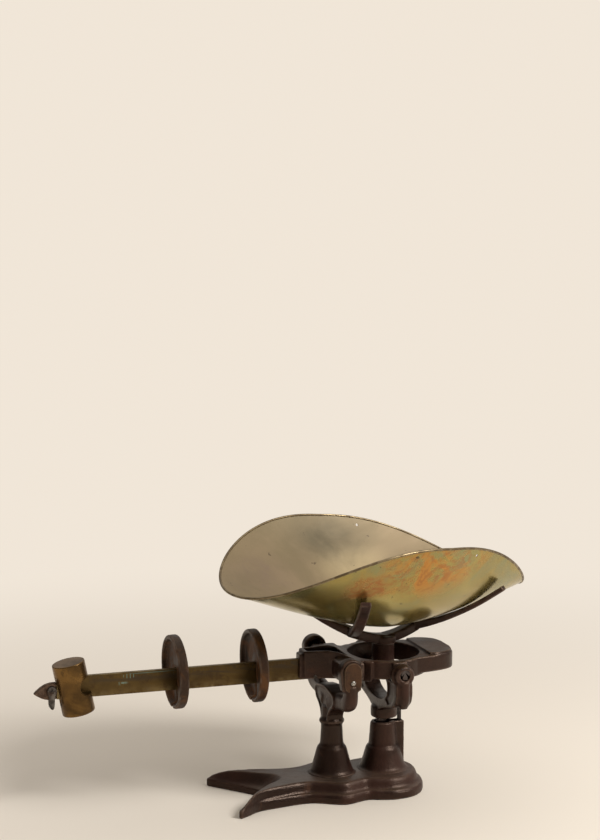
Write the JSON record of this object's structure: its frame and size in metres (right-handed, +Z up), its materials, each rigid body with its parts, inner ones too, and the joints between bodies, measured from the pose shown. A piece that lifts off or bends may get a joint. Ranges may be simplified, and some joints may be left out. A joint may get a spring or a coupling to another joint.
{
  "type": "counter beam scale",
  "caption": "Counter beam scale: cast iron fishtail stand, knife-edge beam with sliding poise and slotted disc weights, and a lift-off brass scoop on a spider carrier.",
  "frame": {"origin": "on the resting surface, directly under the fulcrum knives, on the axis of the fulcrum pillar", "axes": "+X from the fulcrum to the scoop side along the beam, the graduated bar runs out along -X; +Z up; -Y is the front"},
  "size_m": [0.6159, 0.285, 0.3239],
  "materials": {
    "cast_iron": "dark red-brown japanned cast iron, satin, worn at the edges",
    "rusted_iron": "bare iron browned by rust",
    "steel": "dull worn steel",
    "bronze_bar": "dark tarnished brass",
    "poise_brass": "brown tarnished brass",
    "scoop_brass": "old sheet brass with heat-like stains and a dull inside"
  },
  "bodies": {
    "stand": {"base": "cast_iron", "fulcrum_pillar": "cast_iron", "fulcrum_bearing_near": "steel", "fulcrum_bearing_far": "steel", "bearing_cap_near": "rusted_iron", "bearing_cap_far": "rusted_iron", "cap_screws": "steel", "load_pillar": "cast_iron", "pillar_screws": "steel", "link_pin_fixed": "steel"},
    "beam": {"beam_casting": "cast_iron", "fulcrum_knives": "steel", "load_knives": "steel", "beam_bar": "bronze_bar", "bar_rivets": "bronze_bar", "beam_tip": "bronze_bar", "stirrup_pin": "steel"},
    "carrier": {"carrier": "cast_iron", "load_bearing_near": "steel", "load_bearing_far": "steel", "check_rod": "cast_iron", "guide_bar": "cast_iron", "spider": "cast_iron", "link_pin_moving": "steel"},
    "scoop": {"scoop": "scoop_brass", "scoop_rim": "scoop_brass"},
    "link": {"check_link": "cast_iron"},
    "stirrup": {"stirrup": "steel"},
    "poise": {"poise": "poise_brass"},
    "disc_outer": {"disc_weight_outer": "cast_iron"},
    "disc_inner": {"disc_weight_inner": "cast_iron"}
  },
  "joints": [
    {"name": "beam_tilt", "type": "hinge", "parent": "stand", "child": "beam", "pos_m": [0, 0, 0.158], "axis": [0, 1, 0], "range_deg": [-3, 3]},
    {"name": "carrier_hang", "type": "hinge", "parent": "beam", "child": "carrier", "pos_m": [0.065, 0, 0.158], "axis": [0, 1, 0], "range_deg": [-3, 3]},
    {"name": "check_link_swing", "type": "hinge", "parent": "stand", "child": "link", "pos_m": [0, 0, 0.0105], "axis": [0, 1, 0], "range_deg": [-3, 3]},
    {"name": "scoop_lift", "type": "slide", "parent": "carrier", "child": "scoop", "axis": [0, 0, 1], "range_m": [0, 0.12]},
    {"name": "poise_slide", "type": "slide", "parent": "beam", "child": "poise", "axis": [1, 0, 0], "range_m": [0, 0.036]},
    {"name": "outer_disc_slide", "type": "slide", "parent": "beam", "child": "disc_outer", "axis": [1, 0, 0], "range_m": [-0.036, 0.036]},
    {"name": "inner_disc_slide", "type": "slide", "parent": "beam", "child": "disc_inner", "axis": [1, 0, 0], "range_m": [-0.036, 0.045]},
    {"name": "stirrup_swing", "type": "hinge", "parent": "beam", "child": "stirrup", "pos_m": [-0.3406, 0, 0.1515], "axis": [0, 1, 0], "range_deg": [-12, 50]}
  ],
  "couplings": [
    {"joint": "carrier_hang", "follows": "beam_tilt", "ratio": -1},
    {"joint": "check_link_swing", "follows": "beam_tilt", "ratio": 1}
  ]
}
